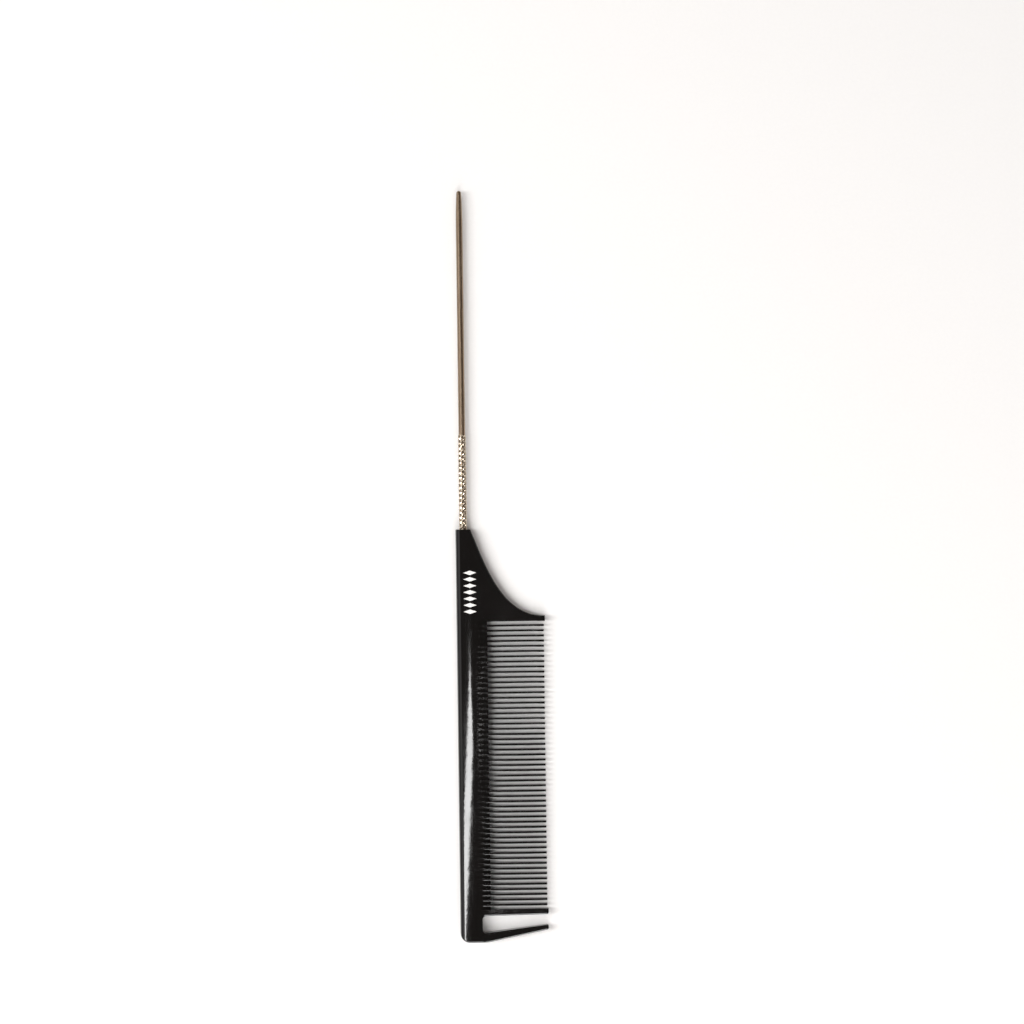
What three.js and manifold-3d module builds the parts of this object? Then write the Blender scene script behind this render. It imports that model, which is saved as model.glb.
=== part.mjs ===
// Rat tail comb: a moulded comb with a sectioning hook at one end, and a steel pin for its tail.
// Millimetres. The comb lies flat: +X runs from the spine to the tooth tips, +Y from the hook end
// to the tip of the pin, and +Z is up through the thickness.

import * as THREE from "three";
import { mergeVertices } from "three/addons/utils/BufferGeometryUtils.js";
import Module from "manifold-3d";

const wasm = await Module();
wasm.setup();

// ---- Driving dimensions ----

// Across the comb, from the back edge of the spine
const combWidth = 26.85; // to the ends of the guard teeth and the hook
const guardOverhang = 0.35; // the fine teeth stop this far short of the guards
const spineWidth = 6.1; // plain band, up to where the grooves between the teeth start
const grooveLength = 3.3; // a groove deepens over this length until it breaks through
const slotInset = 0.7; // the floor of the hook slot stands this far beyond the plain band
const heelLength = 8.2; // flat bottom edge, up to where the hook starts to rise

// Through the thickness
const spineThickness = 4.0;
const tipThickness = 2.2; // at the tooth tips
const backRadius = 1.4; // long edges of the back
const toothTipRadius = 0.9; // rounding of the tooth ends, seen from the end of the comb

// Along the comb
const armRoot = 2.73; // the hook's arm
const armTip = 1.5;
const slotRootHeight = 5.33; // the slot between the hook and the first guard tooth
const slotMouthHeight = 3.15;
const hookGuardRoot = 2.1; // the guard tooth beside the hook
const hookGuardTip = 1.75;
const toothPitch = 1.571;
const fineToothCount = 55;
const fineToothRoot = 0.72;
const fineToothTip = 0.6;
const shoulderGuardRoot = 1.72; // the guard tooth below the shoulder
const shoulderLength = 26.46; // from that guard's outer edge to the end of the neck
const neckWidth = 4.7;

// Corner radii in the flat outline
const heelRadius = 2.9;
const slotRadius = 1.0;
const endRadius = 0.5; // ends of the guards and the hook
const bendRadius = 3.0; // where the bottom edge turns up into the hook
const neckRadius = 0.35;

// Pin
const exposedPinLength = 103.0;
const pinDiameter = 2.0;
const knurlDiameter = 2.4;
const knurlLength = 28.8;
const knurlRamp = 0.4; // length of the run-out from the knurl to the plain shank
const taperLength = 8.0; // the shank narrows over this length before the rounded tip
const pinTipRadius = 0.7;
const tangLength = 24.0; // hidden in the neck
const tangChamfer = 0.4;
const tangClearance = 0.3; // all round the tang, at its end, and from the neck to the knurl

// Fineness of the facets
const outlineSegments = 12;
const edgeSegments = 4;
const pinSides = 32;

// ---- Places that follow from them ----

const rootGap = toothPitch - fineToothRoot;
const tipGap = toothPitch - fineToothTip;
const gapCount = fineToothCount + 1;

const slotBottomY = armRoot;
const slotTopY = slotBottomY + slotRootHeight;
const toothRowStartY = slotTopY + hookGuardRoot;
const firstGapY = toothRowStartY + rootGap / 2;
const lastGapY = firstGapY + fineToothCount * toothPitch;
const shoulderFootY = lastGapY + rootGap / 2 + shoulderGuardRoot;
const bodyLength = shoulderFootY + shoulderLength;

const slotMouthTopY = firstGapY - tipGap / 2 - hookGuardTip;
const slotMouthBottomY = slotMouthTopY - slotMouthHeight;
const armEndY = slotMouthBottomY - armTip;

const fineToothReach = combWidth - guardOverhang;
const slotFloorX = spineWidth + slotInset;
const gapRootX = spineWidth + grooveLength;
const midThickness = spineThickness / 2;

const pinX = neckWidth / 2;
const pinRadius = pinDiameter / 2;
const pinTipY = bodyLength + exposedPinLength;

// ---- Helpers ----

// A closed outline through corners { x, y, radius }; a corner that has "curve" is reached by
// a Bezier curve with those two handles instead of a straight line.
function outline(corners) {
  const shape = new THREE.Shape();
  corners.forEach((corner, index) => {
    const before = corners[(index + corners.length - 1) % corners.length];
    const after = corners[(index + 1) % corners.length];
    const point = new THREE.Vector2(corner.x, corner.y);
    if (corner.curve) {
      const [first, second] = corner.curve;
      shape.bezierCurveTo(first.x, first.y, second.x, second.y, point.x, point.y);
      return;
    }
    if (!corner.radius) {
      if (index === 0) shape.moveTo(point.x, point.y);
      else shape.lineTo(point.x, point.y);
      return;
    }
    const toBefore = new THREE.Vector2(before.x, before.y).sub(point).normalize();
    const toAfter = new THREE.Vector2(after.x, after.y).sub(point).normalize();
    const halfAngle = Math.acos(THREE.MathUtils.clamp(toBefore.dot(toAfter), -1, 1)) / 2;
    const reach = corner.radius / Math.tan(halfAngle);
    const start = point.clone().addScaledVector(toBefore, reach);
    const end = point.clone().addScaledVector(toAfter, reach);
    const inward = toBefore.clone().add(toAfter).normalize();
    const centre = point.clone().addScaledVector(inward, corner.radius / Math.sin(halfAngle));
    const startAngle = Math.atan2(start.y - centre.y, start.x - centre.x);
    const endAngle = Math.atan2(end.y - centre.y, end.x - centre.x);
    const clockwise = toBefore.cross(toAfter) > 0;
    if (index === 0) shape.moveTo(start.x, start.y);
    else shape.lineTo(start.x, start.y);
    shape.absarc(centre.x, centre.y, corner.radius, startAngle, endAngle, clockwise);
  });
  return shape;
}

// A flat outline in X and Y, given height along Z
function extrudeUp(shape, fromZ, toZ) {
  const geometry = new THREE.ExtrudeGeometry(shape, {
    depth: toZ - fromZ,
    bevelEnabled: false,
    curveSegments: outlineSegments,
  });
  return geometry.translate(0, 0, fromZ);
}

// An end-view outline in X and Z, given length along Y
function extrudeAlong(shape, fromY, toY) {
  const geometry = new THREE.ExtrudeGeometry(shape, {
    depth: toY - fromY,
    bevelEnabled: false,
    curveSegments: edgeSegments,
  });
  geometry.rotateX(Math.PI / 2);
  return geometry.translate(0, toY, 0);
}

function toSolid(geometry) {
  const bare = geometry.clone();
  bare.deleteAttribute("normal");
  bare.deleteAttribute("uv");
  const merged = mergeVertices(bare, 1e-4);
  return new wasm.Manifold(new wasm.Mesh({
    numProp: 3,
    vertProperties: new Float32Array(merged.attributes.position.array),
    triVerts: new Uint32Array(merged.index.array),
  }));
}

function toGeometry(solid) {
  const mesh = solid.getMesh();
  const geometry = new THREE.BufferGeometry();
  geometry.setAttribute("position", new THREE.BufferAttribute(mesh.vertProperties, 3));
  geometry.setIndex(new THREE.BufferAttribute(mesh.triVerts, 1));
  geometry.computeVertexNormals();
  return geometry;
}

// A round bar about an axis along +Y, from [radius, y] points that start and end on the axis
function turned(profile, axisX, axisZ) {
  const points = profile.map(([radius, y]) => new THREE.Vector2(radius, y));
  return new THREE.LatheGeometry(points, pinSides).translate(axisX, 0, axisZ);
}

// ---- Comb body ----

// The comb seen from above, with its toothed band still solid
function combOutline() {
  const shoulderFoot = { x: combWidth - endRadius, y: shoulderFootY };
  const neckCorner = { x: neckWidth, y: bodyLength - neckRadius };
  const sweepWidth = shoulderFoot.x - neckCorner.x;
  const sweepLength = neckCorner.y - shoulderFoot.y;
  const shoulderSweep = [
    { x: shoulderFoot.x - 0.6 * sweepWidth, y: shoulderFoot.y },
    { x: neckCorner.x + 0.17 * sweepWidth, y: neckCorner.y - sweepLength / 3 },
  ];
  return outline([
    { x: 0, y: 0, radius: heelRadius },
    { x: heelLength, y: 0, radius: bendRadius },
    { x: combWidth, y: armEndY, radius: endRadius },
    { x: combWidth, y: slotMouthBottomY, radius: endRadius },
    { x: slotFloorX, y: slotBottomY, radius: slotRadius },
    { x: slotFloorX, y: slotTopY, radius: slotRadius },
    { x: combWidth, y: slotMouthTopY, radius: endRadius },
    { x: combWidth, y: firstGapY },
    { x: fineToothReach, y: firstGapY },
    { x: fineToothReach, y: lastGapY },
    { x: combWidth, y: lastGapY },
    { x: combWidth, y: shoulderFootY, radius: endRadius },
    { ...neckCorner, curve: shoulderSweep },
    { x: neckWidth - neckRadius, y: bodyLength },
    { x: 0, y: bodyLength, radius: neckRadius },
  ]);
}

// The comb seen from its end: full thickness over the spine, then a taper to the tooth tips
function thicknessOutline() {
  const tipInset = midThickness - tipThickness / 2;
  return outline([
    { x: 0, y: 0, radius: backRadius },
    { x: gapRootX, y: 0 },
    { x: combWidth, y: tipInset, radius: toothTipRadius },
    { x: combWidth, y: spineThickness - tipInset, radius: toothTipRadius },
    { x: gapRootX, y: spineThickness },
    { x: 0, y: spineThickness, radius: backRadius },
  ]);
}

// What is missing between two teeth. Seen from above it widens towards the tips, and seen from
// the end it leaves a wedge of web behind, which thins to an edge at mid thickness.
function gapSolid(centreY) {
  const past = combWidth + 1;
  const widening = (tipGap - rootGap) / (fineToothReach - spineWidth);
  const pastGap = rootGap + widening * (past - spineWidth);
  const fromAbove = outline([
    { x: spineWidth, y: centreY - rootGap / 2 },
    { x: past, y: centreY - pastGap / 2 },
    { x: past, y: centreY + pastGap / 2 },
    { x: spineWidth, y: centreY + rootGap / 2 },
  ]);
  const fromEnd = outline([
    { x: spineWidth, y: -1 },
    { x: past, y: -1 },
    { x: past, y: spineThickness + 1 },
    { x: spineWidth, y: spineThickness + 1 },
    { x: spineWidth, y: spineThickness },
    { x: gapRootX, y: midThickness },
    { x: spineWidth, y: 0 },
  ]);
  const wide = toSolid(extrudeUp(fromAbove, -1, spineThickness + 1));
  const long = toSolid(extrudeAlong(fromEnd, centreY - toothPitch, centreY + toothPitch));
  return wide.intersect(long);
}

// The blind hole that the pin's tang sits in, open at the end of the neck
function tangHole() {
  const radius = pinRadius + tangClearance;
  const bottomY = bodyLength - tangLength - tangClearance;
  return toSolid(turned([[0, bottomY], [radius, bottomY], [radius, bodyLength + 1], [0, bodyLength + 1]],
    pinX, midThickness));
}

function combBody() {
  const flat = toSolid(extrudeUp(combOutline(), -1, spineThickness + 1));
  const thick = toSolid(extrudeAlong(thicknessOutline(), -1, bodyLength + 1));
  let solid = flat.intersect(thick);
  for (let gap = 0; gap < gapCount; gap += 1) {
    solid = solid.subtract(gapSolid(firstGapY + gap * toothPitch));
  }
  solid = solid.subtract(tangHole());
  const material = new THREE.MeshStandardMaterial({ color: 0x161517, roughness: 0.32, metalness: 0 });
  const mesh = new THREE.Mesh(toGeometry(solid), material);
  mesh.name = "comb_body";
  return mesh;
}

// ---- Tail pin ----

// The wire's outline from the hidden end of the tang to the rounded tip
function pinProfile() {
  const knurlRadius = knurlDiameter / 2;
  const knurlStartY = bodyLength + tangClearance;
  const knurlEndY = bodyLength + knurlLength;
  const tipCentreY = pinTipY - pinTipRadius;
  const profile = [
    [0, bodyLength - tangLength],
    [pinRadius - tangChamfer, bodyLength - tangLength],
    [pinRadius, bodyLength - tangLength + tangChamfer],
    [pinRadius, knurlStartY],
    [knurlRadius, knurlStartY],
    [knurlRadius, knurlEndY - knurlRamp],
    [pinRadius, knurlEndY],
    [pinRadius, tipCentreY - taperLength],
  ];
  const tipSteps = 8;
  for (let step = 0; step <= tipSteps; step += 1) {
    const angle = (step / tipSteps) * Math.PI / 2;
    const radius = step === tipSteps ? 0 : pinTipRadius * Math.cos(angle);
    profile.push([radius, tipCentreY + pinTipRadius * Math.sin(angle)]);
  }
  return profile;
}

function tailPin() {
  const material = new THREE.MeshStandardMaterial({ color: 0xc4b49a, roughness: 0.28, metalness: 1 });
  const mesh = new THREE.Mesh(turned(pinProfile(), pinX, midThickness), material);
  mesh.name = "tail_pin";
  return mesh;
}

// ---- Assembly ----

// The origin is under the middle of the object, on the surface it lies on
const ratTailComb = new THREE.Group();
ratTailComb.position.set(-combWidth / 2, -pinTipY / 2, 0);
ratTailComb.add(combBody());
ratTailComb.add(tailPin());

export default ratTailComb;
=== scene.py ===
import math
import bpy
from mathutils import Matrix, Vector


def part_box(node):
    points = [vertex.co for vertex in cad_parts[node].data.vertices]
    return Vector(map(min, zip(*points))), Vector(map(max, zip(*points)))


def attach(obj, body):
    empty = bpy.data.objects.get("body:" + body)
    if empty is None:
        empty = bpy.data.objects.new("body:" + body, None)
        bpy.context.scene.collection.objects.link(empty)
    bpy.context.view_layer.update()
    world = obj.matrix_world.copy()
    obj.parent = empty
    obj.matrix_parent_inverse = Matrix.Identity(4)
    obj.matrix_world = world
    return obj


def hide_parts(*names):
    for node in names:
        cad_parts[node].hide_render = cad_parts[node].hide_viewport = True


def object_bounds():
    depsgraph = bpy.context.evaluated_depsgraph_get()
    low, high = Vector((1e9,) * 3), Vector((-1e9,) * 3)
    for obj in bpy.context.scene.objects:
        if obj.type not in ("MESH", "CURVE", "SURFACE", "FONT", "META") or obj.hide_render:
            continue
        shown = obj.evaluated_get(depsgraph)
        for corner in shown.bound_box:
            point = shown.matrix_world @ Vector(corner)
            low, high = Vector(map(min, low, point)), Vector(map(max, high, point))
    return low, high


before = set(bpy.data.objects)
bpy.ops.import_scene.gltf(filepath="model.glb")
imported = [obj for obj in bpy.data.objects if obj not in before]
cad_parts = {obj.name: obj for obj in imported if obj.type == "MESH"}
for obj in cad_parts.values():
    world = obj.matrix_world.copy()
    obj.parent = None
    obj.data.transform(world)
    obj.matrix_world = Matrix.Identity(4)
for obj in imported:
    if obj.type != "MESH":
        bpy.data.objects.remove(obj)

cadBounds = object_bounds()
combLow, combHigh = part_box("comb_body")
pinLow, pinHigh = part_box("tail_pin")
mm = 0.001
same = 0.01    # millimetres: places closer than this are one place
close = 0.1    # and a place closer than this is the one meant, where no other is near


def at(x, y, z):  # millimetres from the comb's heel corner, to a point in the frame
    return combLow + Vector((x, y, z)) * mm


def placeOf(point):  # and back again
    return (point - combLow) / mm


def deselect():
    if bpy.context.object and bpy.context.object.mode != "OBJECT":
        bpy.ops.object.mode_set(mode="OBJECT")
    bpy.ops.object.select_all(action="DESELECT")


def activate(piece):
    deselect()
    piece.select_set(True)
    bpy.context.view_layer.objects.active = piece


def pick(piece, kind, wanted):
    # leaves the piece in edit mode with only the wanted vertices, edges or faces selected;
    # a vertex is tested by its place, an edge by its two places and the normals beside it,
    # a face by its centre and its normal
    activate(piece)
    bpy.ops.object.mode_set(mode="EDIT")
    bpy.ops.mesh.select_mode(type=kind)
    bpy.ops.mesh.select_all(action="DESELECT")
    bpy.ops.object.mode_set(mode="OBJECT")
    mesh = piece.data
    places = [placeOf(vertex.co) for vertex in mesh.vertices]
    if kind == "VERT":
        for vertex in mesh.vertices:
            vertex.select = wanted(places[vertex.index])
    elif kind == "FACE":
        for face in mesh.polygons:
            face.select = wanted(placeOf(face.center), face.normal)
    else:
        beside = {}
        for face in mesh.polygons:
            for key in face.edge_keys:
                beside.setdefault(key, []).append(face.normal.copy())
        for edge in mesh.edges:
            a, b = (places[index] for index in edge.vertices)
            edge.select = wanted(a, b, beside.get(edge.key, []))
    bpy.ops.object.mode_set(mode="EDIT")


def editAll(piece):
    activate(piece)
    bpy.ops.object.mode_set(mode="EDIT")
    bpy.ops.mesh.select_all(action="SELECT")


def applied(piece, kind, **settings):
    activate(piece)
    bpy.ops.object.modifier_add(type=kind)
    modifier = piece.modifiers[-1]
    for name, value in settings.items():
        setattr(modifier, name, value)
    bpy.ops.object.modifier_apply(modifier=modifier.name)


def settle(piece):  # its place goes into its mesh, and its object sits at the origin
    activate(piece)
    bpy.ops.object.transform_apply(location=True, rotation=True, scale=True)


def block(name, low, high):
    deselect()
    bpy.ops.mesh.primitive_cube_add(size=1, location=(low + high) / 2, scale=high - low)
    piece = bpy.context.object
    piece.name = name
    settle(piece)
    return piece


def copied(piece, shift):
    activate(piece)
    bpy.ops.object.duplicate()
    twin = bpy.context.object
    twin.location = shift
    settle(twin)
    return twin


def joined(pieces):
    activate(pieces[0])
    for piece in pieces:
        piece.select_set(True)
    bpy.ops.object.join()
    return bpy.context.object


def cutAway(piece, cutter):
    applied(piece, "BOOLEAN", operation="DIFFERENCE", solver="EXACT", object=cutter)
    bpy.data.objects.remove(cutter)


def cleaned(piece):  # a boolean can leave points too close together
    hair = 0.002 * mm
    editAll(piece)
    bpy.ops.mesh.remove_doubles(threshold=hair)
    bpy.ops.mesh.dissolve_degenerate(threshold=hair)
    bpy.ops.object.mode_set(mode="OBJECT")


def facesOut(piece):
    editAll(piece)
    bpy.ops.mesh.normals_make_consistent(inside=False)
    bpy.ops.object.mode_set(mode="OBJECT")


def upright(a, b):  # an edge that stands straight up through the comb
    return abs(a.x - b.x) < same and abs(a.y - b.y) < same and abs(a.z - b.z) > 0.5


def onRim(normals):  # between a face of the comb and its outline
    tilts = [abs(normal.z) for normal in normals]
    return len(tilts) == 2 and max(tilts) > 0.9 and min(tilts) < 0.3


comb = {
    "width": (combHigh.x - combLow.x) / mm,
    "length": (combHigh.y - combLow.y) / mm,
    "thickness": (combHigh.z - combLow.z) / mm,
    "spineWidth": 6.1,        # plain band, up to where the grooves start
    "crownRadius": 32.0,      # each face of the spine is crowned
    "crownLine": 3.3,         # and highest along this line
    "crownWidth": 5.8,        # where it ends, and the taper to the tips begins
    "crownSteps": 10,
    "tipThickness": 2.2,
    "grooveLength": 3.3,      # a groove deepens over this length until it breaks through
    "webRounding": 0.25,      # of the web's edge at mid thickness
    "toothPitch": 1.571,
    "fineTeeth": 55,
    "toothRoot": 0.72,
    "toothTip": 0.6,
    "guardOverhang": 0.35,    # the fine teeth stop short of the guards
    "armRoot": 2.73,          # the hook's arm, and the slot above it
    "armTip": 1.5,
    "slotRoot": 5.33,
    "slotMouth": 3.15,
    "slotInset": 0.7,
    "slotRadius": 1.0,
    "slotSteps": 8,
    "hookGuardRoot": 2.1,
    "hookGuardTip": 1.75,
    "shoulderGuardRoot": 1.72,
    "heelLength": 8.2,
    "heelRadius": 2.9,
    "bendReach": 1.2,         # where the bottom edge turns up into the hook
    "endRadius": 0.62,
    "footRadius": 0.5,
    "neckWidth": 4.7,
    "neckRadius": 0.35,
    "neckSpare": 3.0,         # modelled past the neck, then cut off square
    "neckPull": 0.17,         # reach of the sweep's handles across the comb,
    "footPull": 0.6,          # as shares of its width
    "sweepSteps": 40,
    "backRounding": 1.3,
    "backSteps": 6,
    "rim": 0.38,              # rounding all round the outline
    "sweepRim": 0.95,         # and along the sweep and the neck
    "rimGrowth": (0.3, 5.0),  # it widens this far above the shoulder's foot, over this length
    "rimSteps": 30,
    "neckEdge": 0.25,
    "boreDepth": 22.0,
    "boreSpare": 0.01,
    "tipRounding": 0.4,
    "edgeRounding": 0.13,     # along the teeth, where the gaps were cut
    "splitInto": 0.5,         # the long faces are divided this far into the grooves
    "splitPast": 0.4,         # and this far past their ends
}
comb["rootGap"] = comb["toothPitch"] - comb["toothRoot"]
comb["tipGap"] = comb["toothPitch"] - comb["toothTip"]
comb["slotTop"] = comb["armRoot"] + comb["slotRoot"]
comb["firstGap"] = comb["slotTop"] + comb["hookGuardRoot"] + comb["rootGap"] / 2
comb["lastGap"] = comb["firstGap"] + comb["fineTeeth"] * comb["toothPitch"]
comb["shoulderFoot"] = comb["lastGap"] + comb["rootGap"] / 2 + comb["shoulderGuardRoot"]
comb["mouthTop"] = comb["firstGap"] - comb["tipGap"] / 2 - comb["hookGuardTip"]
comb["mouthBottom"] = comb["mouthTop"] - comb["slotMouth"]
comb["armEnd"] = comb["mouthBottom"] - comb["armTip"]
comb["reach"] = comb["width"] - comb["guardOverhang"]
comb["middle"] = comb["thickness"] / 2


def faceHeight(x):
    # how far the upper face stands below the comb's full thickness: a rounded back edge, a crown
    # over the spine, then a straight taper to the tooth tips
    offLine = min(x, comb["crownWidth"]) - comb["crownLine"]
    drop = offLine ** 2 / (2 * comb["crownRadius"])
    radius = comb["backRounding"]
    if x < radius:
        drop += radius - math.sqrt(radius ** 2 - (radius - x) ** 2)
    if x > comb["crownWidth"]:
        tipDrop = comb["middle"] - comb["tipThickness"] / 2
        along = (x - comb["crownWidth"]) / (comb["width"] - comb["crownWidth"])
        drop += along * (tipDrop - drop)
    return drop


def shoulderCutter():
    # everything beyond the sweep from the neck down to the guard tooth
    past, far, below = 2, 40, -1.0
    neck = Vector((comb["neckWidth"], comb["length"] - comb["neckRadius"]))
    foot = Vector((comb["width"] - comb["footRadius"], comb["shoulderFoot"]))
    span = foot - neck
    deselect()
    bpy.ops.curve.primitive_bezier_curve_add(location=(0, 0, 0))
    sweep = bpy.context.object
    sweep.data.resolution_u = comb["sweepSteps"]
    neckEnd, footEnd = sweep.data.splines[0].bezier_points
    for end in (neckEnd, footEnd):
        end.handle_left_type = end.handle_right_type = "FREE"
    neckEnd.co = at(neck.x, neck.y, below)
    neckEnd.handle_right = at(neck.x + comb["neckPull"] * span.x, neck.y + span.y / 3, below)
    footEnd.handle_left = at(foot.x - comb["footPull"] * span.x, foot.y, below)
    footEnd.co = at(foot.x, foot.y, below)
    bpy.ops.object.convert(target="MESH")
    sweep = bpy.context.object
    sweep.name = "shoulderCutter"
    pick(sweep, "VERT", lambda p: p.y > neck.y - 0.001)
    bpy.ops.mesh.extrude_region_move(
        TRANSFORM_OT_translate={"value": (0, (comb["neckSpare"] + past) * mm, 0)})
    pick(sweep, "VERT", lambda p: p.x > foot.x - 0.001)
    bpy.ops.mesh.extrude_region_move(TRANSFORM_OT_translate={"value": (past * mm, 0, 0)})
    bpy.ops.mesh.select_all(action="SELECT")
    bpy.ops.mesh.extrude_region_move(TRANSFORM_OT_translate={"value": (far * mm, far * mm, 0)})
    bpy.ops.mesh.select_all(action="SELECT")
    bpy.ops.mesh.extrude_region_move(
        TRANSFORM_OT_translate={"value": (0, 0, (comb["thickness"] + past) * mm)})
    facesOut(sweep)
    return sweep


def slotCutter():
    # the hook's slot narrows towards its mouth
    past = 2.0
    floor = comb["spineWidth"] + comb["slotInset"]
    stretch = (comb["width"] + past - floor) / (comb["width"] - floor)
    low = comb["armRoot"] + stretch * (comb["mouthBottom"] - comb["armRoot"])
    high = comb["slotTop"] + stretch * (comb["mouthTop"] - comb["slotTop"])
    cutter = block("slotCutter", at(floor, comb["armRoot"], -1),
                   at(comb["width"] + past, comb["slotTop"], comb["thickness"] + 1))
    pick(cutter, "VERT", lambda p: p.x > floor + 1 and p.y < comb["armRoot"] + 1)
    bpy.ops.transform.translate(value=(0, (low - comb["armRoot"]) * mm, 0))
    pick(cutter, "VERT", lambda p: p.x > floor + 1 and p.y > comb["slotTop"] - 0.5)
    bpy.ops.transform.translate(value=(0, (high - comb["slotTop"]) * mm, 0))
    pick(cutter, "EDGE", lambda a, b, n: upright(a, b) and a.x < floor + close)
    bpy.ops.mesh.bevel(offset=comb["slotRadius"] * mm, segments=comb["slotSteps"], affect="EDGES")
    bpy.ops.object.mode_set(mode="OBJECT")
    return cutter


def gapCutter():
    # what is missing between two teeth: wider at the tips, and notched at its root so that
    # a wedge of web stays behind, with a rounded edge at mid thickness
    past = comb["width"] + 1
    start = comb["spineWidth"]
    root = start + comb["grooveLength"]
    centre = comb["firstGap"]
    half = comb["rootGap"] / 2
    over = comb["middle"] + 1    # how far it stands out from mid thickness
    slope = comb["grooveLength"] / (comb["middle"] - faceHeight(start))
    lead = root - slope * over   # where the ramps reach that height
    cutter = block("gapCutter", at(lead, centre - half, comb["middle"] - over),
                   at(past, centre + half, comb["middle"] + over))
    editAll(cutter)
    bpy.ops.mesh.bisect(plane_co=at(0, 0, comb["middle"]), plane_no=(0, 0, 1))
    pick(cutter, "VERT", lambda p: p.x < lead + close and abs(p.z - comb["middle"]) < close)
    bpy.ops.transform.translate(value=((root - lead) * mm, 0, 0))
    pick(cutter, "EDGE", lambda a, b, n: max(a.x, b.x) < past - 1 and abs(a.x - b.x) < same
         and abs(a.z - b.z) < same and abs(a.z - comb["middle"]) < close)
    bpy.ops.mesh.bevel(offset=comb["webRounding"] * mm, segments=3, affect="EDGES")
    spread = (comb["tipGap"] - comb["rootGap"]) / (comb["reach"] - start)
    pick(cutter, "VERT", lambda p: p.x > past - close)
    bpy.ops.transform.resize(value=(1, 1 + spread * (past - start) / comb["rootGap"], 1),
                             center_override=at(past, centre, comb["middle"]))
    facesOut(cutter)
    return cutter


def boreCutter():
    # the pin was moulded in, so its bore fits it closely
    radius = (pinHigh.x - pinLow.x) / 2 + comb["boreSpare"] * mm
    start, end = combHigh.y - comb["boreDepth"] * mm, combHigh.y + 1 * mm
    middle = (pinLow + pinHigh) / 2
    deselect()
    bpy.ops.mesh.primitive_cylinder_add(vertices=48, radius=radius, depth=end - start,
                                        location=(middle.x, (start + end) / 2, middle.z),
                                        rotation=(math.radians(90), 0, 0))
    cutter = bpy.context.object
    cutter.name = "boreCutter"
    settle(cutter)
    return cutter


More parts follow.
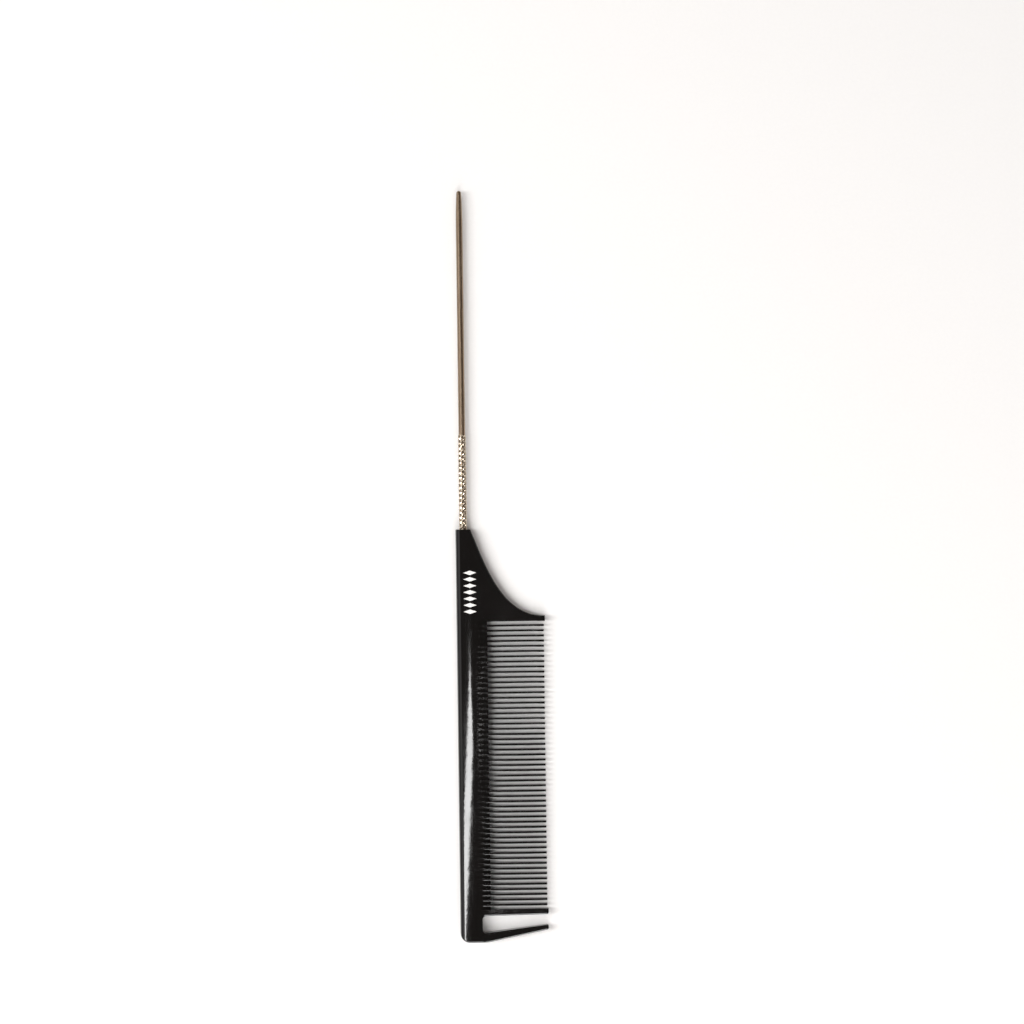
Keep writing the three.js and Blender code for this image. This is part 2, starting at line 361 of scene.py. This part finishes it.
def makeComb():
    print("comb: outline")
    w, h, t = comb["width"], comb["length"], comb["thickness"]
    body = block("combBody", at(0, 0, 0), at(w, h + comb["neckSpare"], t))
    editAll(body)
    across = Vector((comb["armEnd"], comb["heelLength"] - w, 0)).normalized()
    bpy.ops.mesh.bisect(plane_co=at(comb["heelLength"], 0, 0), plane_no=across,
                        use_fill=True, clear_outer=True)
    cutAway(body, shoulderCutter())
    cutAway(body, slotCutter())
    corners = [  # x, y, how far the rounding reaches, segments
        (0, 0, comb["heelRadius"], 12),
        (comb["heelLength"], 0, comb["bendReach"], 6),
        (w, comb["armEnd"], comb["endRadius"], 5),
        (w, comb["mouthBottom"], comb["endRadius"], 5),
        (w, comb["mouthTop"], comb["endRadius"], 5),
    ]
    for x, y, reach, segments in corners:
        pick(body, "EDGE",
             lambda a, b, n: upright(a, b) and math.hypot(a.x - x, a.y - y) < 0.6)
        bpy.ops.mesh.bevel(offset=reach * mm, segments=segments, affect="EDGES")

    print("comb: rounded rim")

    def sweepShare(a, b):
        # the rim widens slowly from the guard tooth to the sweep, and keeps its width to the neck
        start, growth = comb["rimGrowth"]
        along = ((a.y + b.y) / 2 - comb["shoulderFoot"] - start) / growth
        return round(min(max(along, 0), 1) * comb["rimSteps"])

    for step in range(comb["rimSteps"] + 1):
        width = comb["rim"] + (comb["sweepRim"] - comb["rim"]) * step / comb["rimSteps"]
        pick(body, "EDGE", lambda a, b, n: onRim(n)
             and (sweepShare(a, b) if min(a.x, b.x) > close else 0) == step)
        bpy.ops.transform.edge_bevelweight(value=width / comb["sweepRim"])
    applied(body, "BEVEL", width=comb["sweepRim"] * mm, segments=5, limit_method="WEIGHT",
            use_clamp_overlap=False)
    editAll(body)
    bpy.ops.mesh.bisect(plane_co=at(0, h, 0), plane_no=(0, 1, 0), use_fill=True,
                        clear_outer=True)
    cutAway(body, block("toothTrim", at(comb["reach"], comb["firstGap"], -1),
                        at(w + 1, comb["lastGap"], t + 1)))
    pick(body, "EDGE", lambda a, b, n: abs(a.x - comb["reach"]) < same and abs(b.x - a.x) < same
         and abs(a.z - b.z) < same and abs(a.z - comb["middle"]) > close)
    bpy.ops.mesh.bevel(offset=comb["tipRounding"] * mm, segments=3, affect="EDGES")

    print("comb: back, crown and taper")
    steps = range(1, comb["crownSteps"] + 1)
    lines = [comb["crownWidth"] * step / comb["crownSteps"] for step in steps]
    quarter = math.pi / 2 / comb["backSteps"]
    lines += [comb["backRounding"] * (1 - math.cos(quarter * step))
              for step in range(1, comb["backSteps"] + 1)]
    for x in lines:
        editAll(body)
        bpy.ops.mesh.bisect(plane_co=at(x, 0, 0), plane_no=(1, 0, 0))
    bpy.ops.object.mode_set(mode="OBJECT")
    rounded = 0.0051  # a vertex is within this of its place in two decimals
    for x in sorted({round(placeOf(vertex.co).x, 2) for vertex in body.data.vertices}):
        pick(body, "VERT", lambda p: abs(p.x - x) < rounded)
        bpy.ops.transform.resize(value=(1, 1, 1 - faceHeight(x) / comb["middle"]),
                                 center_override=at(x, 0, comb["middle"]))

    pick(body, "EDGE", lambda a, b, n: min(a.y, b.y) > h - same and len(n) == 2
         and max(n[0].y, n[1].y) > 0.9 and min(n[0].y, n[1].y) < 0.9)
    bpy.ops.mesh.bevel(offset=comb["neckEdge"] * mm, segments=2, affect="EDGES")

    print("comb: teeth")
    first = gapCutter()
    gaps = [first]
    for gap in range(1, comb["fineTeeth"] + 1):
        gaps.append(copied(first, (0, gap * comb["toothPitch"] * mm, 0)))
    cutAway(body, joined(gaps))
    cutAway(body, boreCutter())
    cleaned(body)

    def toothEdge(a, b, normals):
        # between a gap's wall and the face or the end of a tooth, but not along a groove's floor
        x, z = (a.x + b.x) / 2, (a.z + b.z) / 2
        tilts = [abs(normal.y) for normal in normals]
        under = 0.06  # how far below the face still counts as on it
        nearFace = abs(z - comb["middle"]) > comb["middle"] - faceHeight(x) - under
        return (len(tilts) == 2 and max(tilts) > 0.9 and min(tilts) < 0.3
                and comb["firstGap"] - 1 < a.y < comb["lastGap"] + 1
                and (nearFace and x > comb["spineWidth"] or x > comb["reach"] - 1))

    pick(body, "EDGE", toothEdge)
    bpy.ops.mesh.bevel(offset=comb["edgeRounding"] * mm, segments=2, affect="EDGES")
    start = comb["spineWidth"]
    for x in (start + comb["splitInto"], start + comb["grooveLength"] + comb["splitPast"]):
        editAll(body)  # shorter faces beside the grooves, so that their edges catch the light
        bpy.ops.mesh.bisect(plane_co=at(x, 0, 0), plane_no=(1, 0, 0))
    editAll(body)
    bpy.ops.mesh.remove_doubles(threshold=0.0005 * mm)  # points the bevel left in one place
    finished(body)
    return body


def finished(piece):
    sharpAbove, broadFirst = 32, 60
    facesOut(piece)
    activate(piece)
    bpy.ops.object.shade_smooth_by_angle(angle=math.radians(sharpAbove))
    applied(piece, "WEIGHTED_NORMAL", keep_sharp=True, weight=broadFirst)


pin = {
    "shankRadius": 1.0,
    "knurlRadius": (pinHigh.x - pinLow.x) / 2 / mm,
    "knurlLength": 28.8,       # that shows
    "knurlRamp": 0.4,
    "hidden": 20.0,            # tang in the neck
    "hiddenKnurl": 3.0,        # and how far the knurl goes in with it
    "taper": [(9.0, 1.0), (5.5, 0.93), (2.6, 0.82), (0.75, 0.72)],  # back from the tip, radius
    "tipShare": 0.96,          # of the end's radius that its rounding takes
    "starts": 5,               # helices each way
    "pitch": 1.5,              # between helices, along the pin
    "grooveDepth": 0.27,
    "grooveHalfWidth": 0.52,   # along the pin, at the surface
    "shallow": 0.16,           # the left-hand grooves are cut less deep
    "grooveSpare": 0.09,       # how far a cutter stands out of the wire, clear of its neighbour
    "firstTurn": 0.13,         # of the way to the next helix, to either hand
    "shankDark": "#93806d",
    "shankLight": "#aa967f",
    # the knurl's colours: painted shade in its valleys and a painted highlight on its crests
    "valleyShade": "#735d47",
    "crestHighlight": "#e0d3c0",
    "sides": 60,
    "helixSteps": 22,
}


def pinPoint(y):  # millimetres past the end of the neck, on the pin's axis
    middle = (pinLow + pinHigh) / 2
    return Vector((middle.x, combHigh.y + y * mm, middle.z))


def endRing(piece, y):
    depth = placeOf(pinPoint(y)).y
    pick(piece, "FACE",
         lambda centre, normal: abs(centre.y - depth) < same and abs(normal.y) > 0.9)


def drawnOut(piece, fromY, toY, scale):
    # the end face is extruded along the pin and brought to its new size
    endRing(piece, fromY)
    bpy.ops.mesh.extrude_region_move(
        TRANSFORM_OT_translate={"value": (0, (toY - fromY) * mm, 0)})
    bpy.ops.transform.resize(value=(scale, scale, scale), center_override=pinPoint(toY))


def helixCutter(hand, turn):
    # one V groove of the knurl: a small diamond section carried round the pin
    lead = pin["starts"] * pin["pitch"]
    length = pin["knurlLength"] + pin["hiddenKnurl"]
    depth = pin["grooveDepth"] if hand > 0 else pin["shallow"]
    tall = depth + pin["grooveSpare"]
    radius = pin["knurlRadius"] - depth + tall
    slope = pin["grooveHalfWidth"] / pin["grooveDepth"]
    deselect()
    bpy.ops.mesh.primitive_circle_add(vertices=4, radius=tall * mm, fill_type="NOTHING",
                                      location=(0, 0, 0))
    groove = bpy.context.object
    groove.name = "grooveCutter"
    start = -pin["hiddenKnurl"] if hand > 0 else -pin["hiddenKnurl"] + length
    pick(groove, "VERT", lambda p: True)
    bpy.ops.transform.resize(value=(1, slope, 1), center_override=(0, 0, 0))
    bpy.ops.transform.translate(value=(radius * mm, 0, 0))
    bpy.ops.object.mode_set(mode="OBJECT")
    turns = length / lead
    steps = round(pin["helixSteps"] * turns)
    applied(groove, "SCREW", axis="Y", angle=2 * math.pi * turns, screw_offset=hand * length * mm,
            iterations=1, steps=steps, render_steps=steps, use_smooth_shade=False)
    editAll(groove)
    bpy.ops.mesh.select_mode(type="EDGE")
    bpy.ops.mesh.select_all(action="SELECT")
    bpy.ops.mesh.fill_holes(sides=0)
    bpy.ops.object.mode_set(mode="OBJECT")
    groove.rotation_euler = (0, 2 * math.pi * turn / pin["starts"], 0)
    groove.location = pinPoint(start)
    settle(groove)
    facesOut(groove)
    return groove


def makePin():
    print("pin: wire")
    tip = (pinHigh.y - combHigh.y) / mm
    knurlEnd = pin["knurlLength"] - pin["knurlRamp"]
    hiddenKnurl = pin["hiddenKnurl"]
    deselect()
    bpy.ops.mesh.primitive_cylinder_add(
        vertices=pin["sides"], radius=pin["knurlRadius"] * mm, depth=(knurlEnd + hiddenKnurl) * mm,
        location=pinPoint((knurlEnd - hiddenKnurl) / 2), rotation=(math.radians(90), 0, 0))
    wire = bpy.context.object
    wire.name = "tailPin"
    settle(wire)
    toShank = pin["shankRadius"] / pin["knurlRadius"]
    drawnOut(wire, -hiddenKnurl, -hiddenKnurl, toShank)
    drawnOut(wire, -hiddenKnurl, -pin["hidden"], 1)
    drawnOut(wire, knurlEnd, pin["knurlLength"], toShank)
    here, radius = pin["knurlLength"], pin["shankRadius"]
    for back, wanted in pin["taper"] + [(0, pin["taper"][-1][1])]:
        drawnOut(wire, here, tip - back, wanted / radius)
        here, radius = tip - back, wanted
    endRing(wire, tip)
    bpy.ops.mesh.region_to_loop()
    bpy.ops.mesh.bevel(offset=pin["tipShare"] * radius * mm, segments=8, affect="EDGES")
    bpy.ops.object.mode_set(mode="OBJECT")

    print("pin: knurl")
    for hand in (1, -1):
        grooves = [helixCutter(hand, turn + pin["firstTurn"] * hand)
                   for turn in range(pin["starts"])]
        cutAway(wire, joined(grooves))
    cleaned(wire)
    finished(wire)
    return wire


mark = {
    "from": 100.6,            # along the comb, the middle of the first lozenge
    "to": 112.4,              # and of the last
    "line": 4.2,              # across the spine, the middle of the row
    "count": 7,
    "long": 4.0,              # each lozenge, across the spine
    "wide": 1.35,             # and along it
    "corner": 0.09,
    "ink": 0.02,
    "lift": 0.004,            # between the ink and the plastic
    "cuts": 8,                # each side of the middle, so that the ink can bend
    "cutStep": 0.25,
}


def makeMark():
    print("mark: lozenges")
    deselect()
    side = math.sqrt(0.5)
    step = (mark["to"] - mark["from"]) / (mark["count"] - 1)
    middle = at(mark["line"], mark["from"], comb["thickness"] + 1)
    bpy.ops.mesh.primitive_plane_add(size=1, location=middle)
    first = bpy.context.object
    first.name = "printedLozenges"
    settle(first)
    editAll(first)
    bpy.ops.transform.rotate(value=math.radians(45), orient_axis="Z", center_override=middle)
    bpy.ops.transform.resize(value=(side * mark["long"] * mm, side * mark["wide"] * mm, 1),
                             center_override=middle)
    bpy.ops.mesh.bevel(offset=mark["corner"] * mm, segments=3, affect="VERTICES")
    bpy.ops.object.mode_set(mode="OBJECT")
    lozenges = [first]
    for number in range(1, mark["count"]):
        lozenges.append(copied(first, (0, number * step * mm, 0)))
    return joined(lozenges)


def printOn(marks, body):
    # the ink follows the crown of the face that it is printed on
    for cut in range(-mark["cuts"], mark["cuts"] + 1):
        editAll(marks)
        bpy.ops.mesh.bisect(plane_co=at(mark["line"] + cut * mark["cutStep"], 0, 0),
                            plane_no=(1, 0, 0))
    bpy.ops.object.mode_set(mode="OBJECT")
    applied(marks, "SHRINKWRAP", target=body, wrap_method="PROJECT", use_project_z=True,
            use_negative_direction=True, use_positive_direction=False, offset=mark["lift"] * mm)
    applied(marks, "SOLIDIFY", thickness=mark["ink"] * mm, offset=1)
    finished(marks)


def linear(hexText):  # an sRGB hex colour, as the renderer's linear one
    channels = [int(hexText[start:start + 2], 16) / 255 for start in (1, 3, 5)]
    return [c / 12.92 if c <= 0.04045 else ((c + 0.055) / 1.055) ** 2.4 for c in channels] + [1]


def newMaterial(name, **shader):
    material = bpy.data.materials.new(name)
    material.use_nodes = True
    surface = material.node_tree.nodes["Principled BSDF"]
    for socket, value in shader.items():
        surface.inputs[socket.replace("_", " ")].default_value = value
    return material, surface


def addNode(material, kind, settings=None, **links):
    # settings are the node's own, links are its inputs: a socket to join, or a value to set
    node = material.node_tree.nodes.new(kind)
    for name, value in (settings or {}).items():
        setattr(node, name, value)
    for name, value in links.items():
        socket = node.inputs[int(name[2:]) if name.startswith("in") else name.replace("_", " ")]
        if isinstance(value, bpy.types.NodeSocket):
            material.node_tree.links.new(value, socket)
        else:
            socket.default_value = value
    return node


def perMillimetre(size):  # a noise scale whose features are about that many millimetres
    return 1 / (size * mm)


def mouldedPlastic():
    # black acetal from a polished mould: a deep, even black with a clear sheen, faint waviness,
    # hairline handling marks along the spine that dull the gloss, and a parting line at mid edge
    material, surface = newMaterial("blackMouldedAcetal", Roughness=0.08, IOR=1.48)
    place = addNode(material, "ShaderNodeTexCoord").outputs["Object"]
    clouds = addNode(material, "ShaderNodeTexNoise", Vector=place, Scale=perMillimetre(9),
                     Detail=3.0)
    tint = addNode(material, "ShaderNodeMix", {"data_type": "RGBA"}, in0=clouds.outputs["Fac"],
                   in6=linear("#050505"), in7=linear("#0d0b0b"))
    stretched = addNode(material, "ShaderNodeMapping", Vector=place, Scale=(1, 0.03, 1))
    marks = addNode(material, "ShaderNodeTexNoise", Vector=stretched.outputs["Vector"],
                    Scale=perMillimetre(0.22), Detail=3.0)
    hairlines = addNode(material, "ShaderNodeMapRange", Value=marks.outputs["Fac"],
                        From_Min=0.5, From_Max=0.75)
    sheen = addNode(material, "ShaderNodeMapRange", Value=clouds.outputs["Fac"],
                    From_Min=0.3, From_Max=0.7, To_Min=0.04, To_Max=0.08)
    rough = addNode(material, "ShaderNodeMath", {"operation": "MULTIPLY_ADD"},
                    in0=hairlines.outputs["Result"], in1=0.05, in2=sheen.outputs["Result"])
    ripple = addNode(material, "ShaderNodeTexNoise", Vector=place, Scale=perMillimetre(3),
                     Detail=2.0)
    grain = addNode(material, "ShaderNodeTexNoise", Vector=place, Scale=perMillimetre(0.3),
                    Detail=2.0)
    height = addNode(material, "ShaderNodeSeparateXYZ", Vector=place).outputs["Z"]
    offSeam = addNode(material, "ShaderNodeMath", {"operation": "SUBTRACT"}, in0=height,
                      in1=comb["middle"] * mm)
    away = addNode(material, "ShaderNodeMath", {"operation": "ABSOLUTE"}, in0=offSeam.outputs[0])
    seam = addNode(material, "ShaderNodeMapRange", Value=away.outputs[0], From_Min=0.03 * mm,
                   From_Max=0.09 * mm, To_Min=1.0, To_Max=0.0)
    waves = addNode(material, "ShaderNodeBump", Strength=1.0, Distance=0.012 * mm,
                    Height=ripple.outputs["Fac"])
    fine = addNode(material, "ShaderNodeBump", Strength=1.0, Distance=0.0015 * mm,
                   Height=grain.outputs["Fac"], Normal=waves.outputs["Normal"])
    parted = addNode(material, "ShaderNodeBump", Strength=1.0, Distance=0.03 * mm,
                     Height=seam.outputs["Result"], Normal=fine.outputs["Normal"])
    link = material.node_tree.links.new
    link(tint.outputs["Result"], surface.inputs["Base Color"])
    link(rough.outputs[0], surface.inputs["Roughness"])
    link(parted.outputs["Normal"], surface.inputs["Normal"])
    return material


def platedSteel():
    # drawn steel wire with a thin smoky nickel plate: a satin champagne shank with fine lines
    # along it from the die, and a knurl painted with a highlight on its crests and painted shade
    # in its valleys
    material, surface = newMaterial("nickelPlatedDrawnSteel", Metallic=1.0, Roughness=0.38)
    place = addNode(material, "ShaderNodeTexCoord").outputs["Object"]
    axis = pinPoint(0)
    centred = addNode(material, "ShaderNodeMapping", Vector=place, Location=(-axis.x, 0, -axis.z),
                      Scale=(1, 0, 1))
    offAxis = addNode(material, "ShaderNodeVectorMath", {"operation": "LENGTH"},
                      in0=centred.outputs["Vector"])
    # distance from the axis picks the colour: painted highlight out on the crests, painted shade
    # deep in the valleys
    crestHighlight = addNode(material, "ShaderNodeMapRange", Value=offAxis.outputs["Value"],
                    From_Min=0.95 * mm, From_Max=1.12 * mm)
    along = addNode(material, "ShaderNodeSeparateXYZ", Vector=place).outputs["Y"]
    knurlEnd = pinPoint(pin["knurlLength"]).y
    onShank = addNode(material, "ShaderNodeMapRange", Value=along, From_Min=knurlEnd - 0.2 * mm,
                      From_Max=knurlEnd + 0.2 * mm)
    drawn = addNode(material, "ShaderNodeMapping", Vector=place, Scale=(1, 0.01, 1))
    lines = addNode(material, "ShaderNodeTexNoise", Vector=drawn.outputs["Vector"],
                    Scale=perMillimetre(0.16), Detail=3.0)
    patches = addNode(material, "ShaderNodeTexNoise", Vector=place, Scale=perMillimetre(5),
                      Detail=3.0)
    plate = addNode(material, "ShaderNodeMix", {"data_type": "RGBA"}, in0=patches.outputs["Fac"],
                    in6=linear(pin["shankDark"]), in7=linear(pin["shankLight"]))
    # the knurl's colour, with painted shade in the valleys and a painted highlight on the crests
    cut = addNode(material, "ShaderNodeMix", {"data_type": "RGBA"}, in0=crestHighlight.outputs["Result"],
                  in6=linear(pin["valleyShade"]), in7=linear(pin["crestHighlight"]))
    tint = addNode(material, "ShaderNodeMix", {"data_type": "RGBA"}, in0=onShank.outputs["Result"],
                   in6=cut.outputs["Result"], in7=plate.outputs["Result"])
    rough = addNode(material, "ShaderNodeMapRange", Value=lines.outputs["Fac"], From_Min=0.3,
                    From_Max=0.7, To_Min=0.2, To_Max=0.32)
    bump = addNode(material, "ShaderNodeBump", Strength=1.0, Distance=0.002 * mm,
                   Height=lines.outputs["Fac"])
    link = material.node_tree.links.new
    link(tint.outputs["Result"], surface.inputs["Base Color"])
    link(rough.outputs["Result"], surface.inputs["Roughness"])
    link(bump.outputs["Normal"], surface.inputs["Normal"])
    return material


def padInk():
    # white pad-printing ink: flat and slightly chalky, a little thin in places
    material, surface = newMaterial("whitePadPrintInk", Roughness=0.55, IOR=1.5)
    place = addNode(material, "ShaderNodeTexCoord").outputs["Object"]
    thin = addNode(material, "ShaderNodeTexNoise", Vector=place, Scale=perMillimetre(0.5),
                   Detail=3.0)
    cover = addNode(material, "ShaderNodeMapRange", Value=thin.outputs["Fac"], From_Min=0.3,
                    From_Max=0.5)
    tint = addNode(material, "ShaderNodeMix", {"data_type": "RGBA"}, in0=cover.outputs["Result"],
                   in6=linear("#e2e0dd"), in7=linear("#f2f0ed"))
    bump = addNode(material, "ShaderNodeBump", Strength=1.0, Distance=0.003 * mm,
                   Height=thin.outputs["Fac"])
    link = material.node_tree.links.new
    link(tint.outputs["Result"], surface.inputs["Base Color"])
    link(bump.outputs["Normal"], surface.inputs["Normal"])
    return material


def paleCard():
    # matt white card: almost white, with a barely visible tooth
    material, surface = newMaterial("mattWhiteCard", Roughness=0.8)
    place = addNode(material, "ShaderNodeTexCoord").outputs["Object"]
    tooth = addNode(material, "ShaderNodeTexNoise", Vector=place, Scale=perMillimetre(0.9),
                    Detail=2.0)
    tint = addNode(material, "ShaderNodeMix", {"data_type": "RGBA"}, in0=tooth.outputs["Fac"],
                   in6=linear("#f1f0ef"), in7=linear("#f5f4f3"))
    material.node_tree.links.new(tint.outputs["Result"], surface.inputs["Base Color"])
    return material


studio = {
    "frameHeight": 310.9,      # what the view takes in, in millimetres
    "centre": (17.3, 130.7),   # of the view, from the heel corner
    "lens": 100,
    "sensor": 36,
    "roll": 0.76,              # the comb leans a little to the left
    "floorSize": 5.0,          # lengths from here on are in metres
    "world": 0.17,
    "worldTint": "#fff0e6",
    # name, bearing from +X, elevation, distance, width, height, watts, and what it reaches:
    # matt surfaces (diffuse), reflections (gloss) or both
    "lamps": [
        ("keyLight", 180, 47, 1.6, 0.4, 1.2, 15, "diffuse"),
        ("leftPanel", 180, 50, 1.6, 1.6, 1.6, 7.2, "both"),
        ("rightPanel", 0, 50, 1.6, 1.6, 1.6, 4, "diffuse"),
        ("heelLight", -92, 42, 1.5, 0.8, 1.1, 10, "both"),
        ("edgeLight", -90, 52, 1.5, 0.8, 0.7, 28, "gloss"),
    ],
    "strip": {  # overhead and slanted, so that it shows as a stripe along the spine
        "place": (-0.127, -0.228, 1.2), "turn": -58, "width": 0.075, "length": 0.4, "watts": 1.9,
    },
}


def aimed(piece, target):  # turned so that its lit side faces the target
    piece.rotation_euler = (target - piece.location).to_track_quat("-Z", "Y").to_euler()


def makeCamera():
    x, y = studio["centre"]
    distance = studio["frameHeight"] * mm * studio["lens"] / studio["sensor"]
    bpy.ops.object.camera_add(location=at(x, y, comb["thickness"]) + Vector((0, 0, distance)))
    camera = bpy.context.object
    camera.name = "camera"
    camera.data.lens = studio["lens"]
    camera.data.clip_start = 0.01
    camera.rotation_euler = (0, 0, -math.radians(studio["roll"]))
    bpy.context.scene.camera = camera


def softBox(name, place, width, height, power):
    bpy.ops.object.light_add(type="AREA", location=place)
    lamp = bpy.context.object
    lamp.name = name
    lamp.data.shape = "RECTANGLE"
    lamp.data.size = width
    lamp.data.size_y = height
    lamp.data.energy = power
    lamp.visible_camera = False
    return lamp


def makeStudio():
    print("studio")
    deselect()
    bpy.ops.mesh.primitive_plane_add(size=studio["floorSize"], location=(0, 0, cadBounds[0].z))
    floor = bpy.context.object
    floor.name = "floor"
    settle(floor)
    floor.data.materials.append(paleCard())
    world = bpy.data.worlds.new("softRoom")
    world.use_nodes = True
    background = world.node_tree.nodes["Background"]
    background.inputs["Color"].default_value = linear(studio["worldTint"])
    background.inputs["Strength"].default_value = studio["world"]
    bpy.context.scene.world = world
    for name, bearing, elevation, distance, width, height, watts, reach in studio["lamps"]:
        turn, rise = math.radians(bearing), math.radians(elevation)
        away = Vector((math.cos(turn) * math.cos(rise), math.sin(turn) * math.cos(rise),
                       math.sin(rise)))
        lamp = softBox(name, away * distance, width, height, watts)
        aimed(lamp, Vector((0, 0, 0)))
        lamp.visible_glossy = reach != "diffuse"
        lamp.visible_diffuse = reach != "gloss"
    strip = studio["strip"]
    lamp = softBox("stripLight", strip["place"], strip["width"], strip["length"], strip["watts"])
    lamp.rotation_euler = (0, 0, math.radians(strip["turn"]))  # an unturned lamp faces down
    bpy.context.scene.view_settings.view_transform = "Standard"
    makeCamera()


makeStudio()
combBody = makeComb()
tailPin = makePin()
lozenges = makeMark()
printOn(lozenges, combBody)

for piece, node, slot, material in (
    (combBody, "comb_body", "comb_plastic", mouldedPlastic()),
    (tailPin, "tail_pin", "pin_steel", platedSteel()),
    (lozenges, None, "print_ink", padInk()),
):
    piece.data.materials.clear()
    piece.data.materials.append(material)
    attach(piece, "root")
    if node:
        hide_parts(node)
    print(piece.name, len(piece.data.polygons), "faces")
